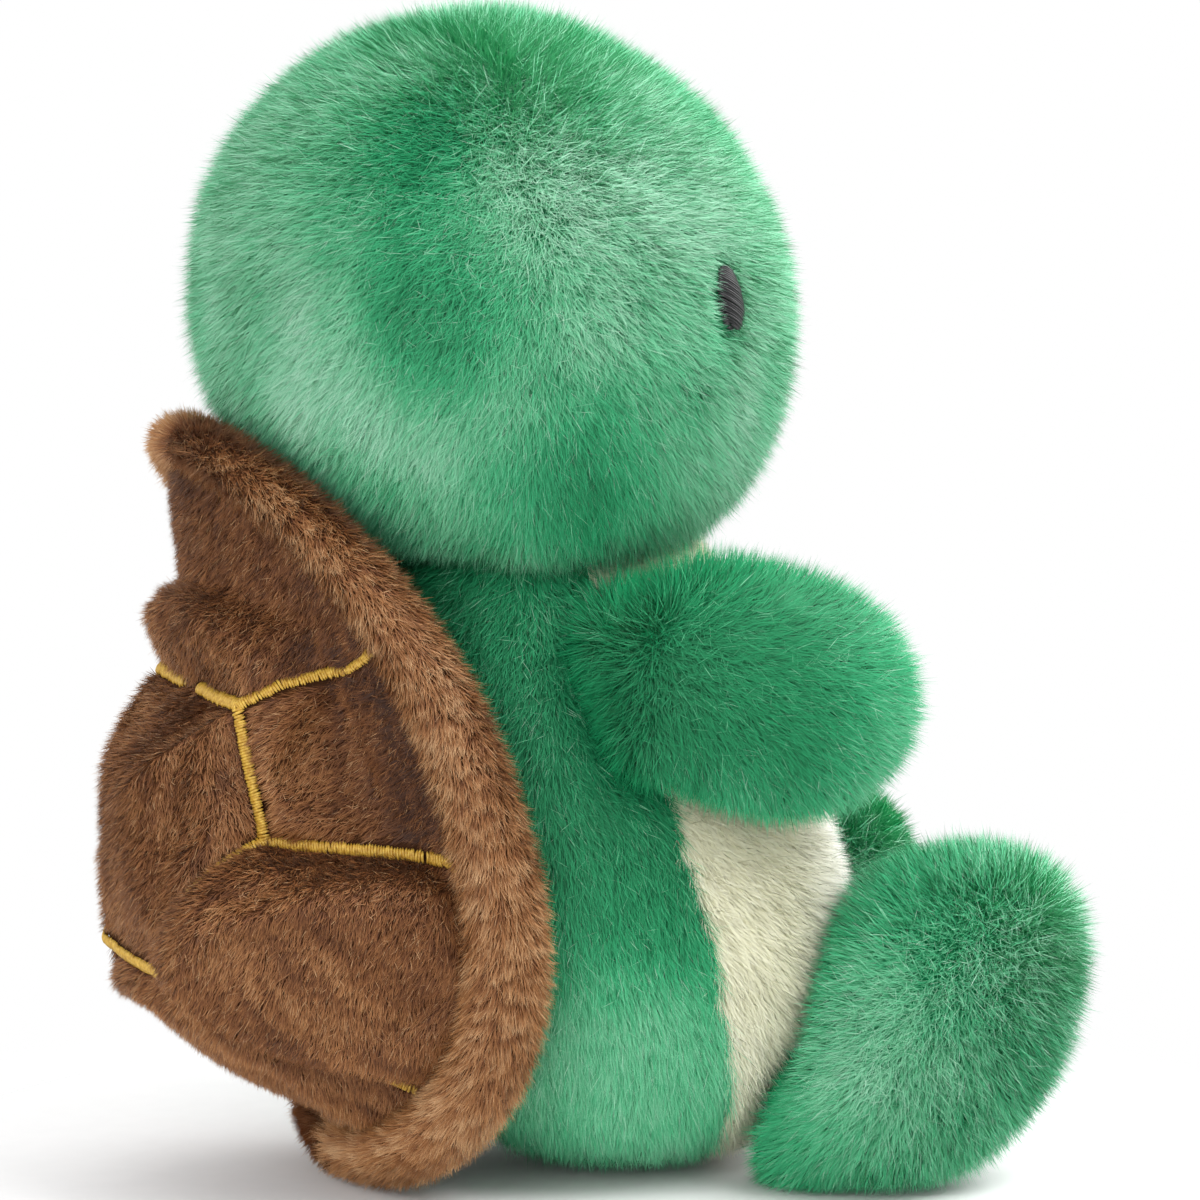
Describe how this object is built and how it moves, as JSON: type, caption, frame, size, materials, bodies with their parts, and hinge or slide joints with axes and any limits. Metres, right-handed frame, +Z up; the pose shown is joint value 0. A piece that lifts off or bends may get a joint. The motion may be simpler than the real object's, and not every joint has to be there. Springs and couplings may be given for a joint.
{
  "type": "plush turtle",
  "caption": "Palm-size sitting soft toy turtle with long green pile, a cream belly and a quilted brown shell; its head nods and turns, its arms swing and its legs splay.",
  "frame": {"origin": "middle of the footprint, on the floor that the turtle sits on", "axes": "+Z up, the turtle faces -Y, +X is its left side"},
  "size_m": [0.0744, 0.1018, 0.1259],
  "materials": {
    "green_pile": "long two-tone green pile",
    "cream_pile": "long cream pile",
    "brown_pile": "short brown pile",
    "brown_lining": "short dark pile",
    "filling_fibre": "loose polyester fibre",
    "pouch_cloth": "plain woven",
    "plastic_pellets": "smooth",
    "eye_thread": "satin stitch"
  },
  "bodies": {
    "body": {"belly_panel": "cream_pile", "body_side_right": "green_pile", "body_side_left": "green_pile", "base_panel": "green_pile", "body_stuffing": "filling_fibre", "pellet_pouch": "pouch_cloth", "pellets": "plastic_pellets", "shell_rim": "brown_pile", "shell_rim_filling": "filling_fibre", "shell_lining": "brown_lining", "shell_dome": "brown_pile", "shell_padding": "filling_fibre"},
    "neck": {"neck_stuffing": "filling_fibre"},
    "head": {"head_face_right": "green_pile", "head_face_left": "green_pile", "head_back_right": "green_pile", "head_back_left": "green_pile", "head_stuffing": "filling_fibre", "eye_right": "eye_thread", "eye_left": "eye_thread"},
    "arm_right": {"arm_right_outer": "green_pile", "arm_right_inner": "green_pile", "arm_right_stuffing": "filling_fibre"},
    "arm_left": {"arm_left_outer": "green_pile", "arm_left_inner": "green_pile", "arm_left_stuffing": "filling_fibre"},
    "leg_right": {"leg_right_outer": "green_pile", "leg_right_inner": "green_pile", "leg_right_stuffing": "filling_fibre"},
    "leg_left": {"leg_left_outer": "green_pile", "leg_left_inner": "green_pile", "leg_left_stuffing": "filling_fibre"}
  },
  "joints": [
    {"name": "neck_turn", "type": "hinge", "parent": "body", "child": "neck", "pos_m": [0, 0.00598, 0.0673], "axis": [0, 0, 1], "range_deg": [-15, 15], "stiffness_Nm_per_rad": 0.05},
    {"name": "head_nod", "type": "hinge", "parent": "neck", "child": "head", "pos_m": [0, 0.00598, 0.0673], "axis": [1, 0, 0], "range_deg": [-6, 10], "stiffness_Nm_per_rad": 0.12},
    {"name": "arm_right_swing", "type": "hinge", "parent": "body", "child": "arm_right", "pos_m": [-0.0261, -0.00008, 0.05598], "axis": [-0.4342, -0.2022, -0.8778], "range_deg": [0, 30], "stiffness_Nm_per_rad": 0.02},
    {"name": "arm_left_swing", "type": "hinge", "parent": "body", "child": "arm_left", "pos_m": [0.0261, -0.00008, 0.05598], "axis": [-0.4342, 0.2022, 0.8778], "range_deg": [0, 30], "stiffness_Nm_per_rad": 0.02},
    {"name": "leg_right_splay", "type": "hinge", "parent": "body", "child": "leg_right", "pos_m": [-0.02054, -0.02275, 0.00791], "axis": [0, 0, -1], "range_deg": [-8, 20], "stiffness_Nm_per_rad": 0.03},
    {"name": "leg_left_splay", "type": "hinge", "parent": "body", "child": "leg_left", "pos_m": [0.02054, -0.02275, 0.00791], "axis": [0, 0, 1], "range_deg": [-8, 20], "stiffness_Nm_per_rad": 0.03}
  ]
}
